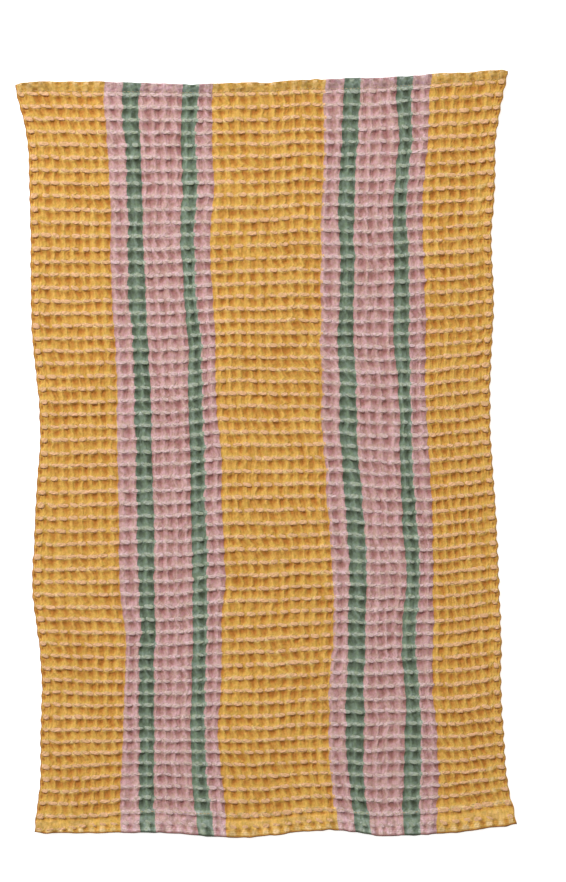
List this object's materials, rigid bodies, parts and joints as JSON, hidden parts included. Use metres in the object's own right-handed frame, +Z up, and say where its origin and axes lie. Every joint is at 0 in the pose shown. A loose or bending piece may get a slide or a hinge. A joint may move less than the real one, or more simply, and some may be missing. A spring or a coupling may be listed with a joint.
{
  "type": "golf towel",
  "caption": "Striped waffle-weave cotton golf towel lying flat, with selvedges and sewn end hems, that folds lengthwise in thirds.",
  "frame": {"origin": "under the centre of the bounding box, on the underside of the towel as it lies flat", "axes": "+Z up out of the face, length along Y, width along X"},
  "size_m": [0.4065, 0.6223, 0.0045],
  "materials": {
    "yellow_yarn": "matt cotton, golden yellow",
    "pink_yarn": "matt cotton, pale pink",
    "green_yarn": "matt cotton, mid green",
    "weft_yarn": "matt cotton, pale peach pink",
    "hem_cloth": "matt cotton, striped like the cloth",
    "sewing_thread": "spun sewing thread, pale peach"
  },
  "bodies": {
    "centre": {"warp_green_2": "green_yarn", "warp_pink_3": "pink_yarn", "warp_yellow_centre": "yellow_yarn", "warp_pink_4": "pink_yarn", "warp_green_3": "green_yarn", "weft_centre": "weft_yarn", "top_hem_centre": "hem_cloth", "bottom_hem_centre": "hem_cloth", "top_needle_thread_centre": "sewing_thread", "top_bobbin_thread_centre": "sewing_thread", "bottom_needle_thread_centre": "sewing_thread", "bottom_bobbin_thread_centre": "sewing_thread"},
    "left_wing": {"selvedge_left": "yellow_yarn", "warp_yellow_left": "yellow_yarn", "warp_pink_1": "pink_yarn", "warp_green_1": "green_yarn", "warp_pink_2": "pink_yarn", "weft_left": "weft_yarn", "top_hem_left": "hem_cloth", "bottom_hem_left": "hem_cloth", "top_needle_thread_left": "sewing_thread", "top_bobbin_thread_left": "sewing_thread", "bottom_needle_thread_left": "sewing_thread", "bottom_bobbin_thread_left": "sewing_thread"},
    "right_wing": {"warp_pink_5": "pink_yarn", "warp_green_4": "green_yarn", "warp_pink_6": "pink_yarn", "warp_yellow_right": "yellow_yarn", "selvedge_right": "yellow_yarn", "weft_right": "weft_yarn", "top_hem_right": "hem_cloth", "bottom_hem_right": "hem_cloth", "top_needle_thread_right": "sewing_thread", "top_bobbin_thread_right": "sewing_thread", "bottom_needle_thread_right": "sewing_thread", "bottom_bobbin_thread_right": "sewing_thread"}
  },
  "joints": [
    {"name": "left_fold", "type": "hinge", "parent": "centre", "child": "left_wing", "pos_m": [-0.06492, 0, 0.00525], "axis": [0, 1, 0], "range_deg": [0, 179.5]},
    {"name": "right_fold", "type": "hinge", "parent": "centre", "child": "right_wing", "pos_m": [0.07683, 0, 0.0085], "axis": [0, -1, 0], "range_deg": [0, 179.5]}
  ]
}
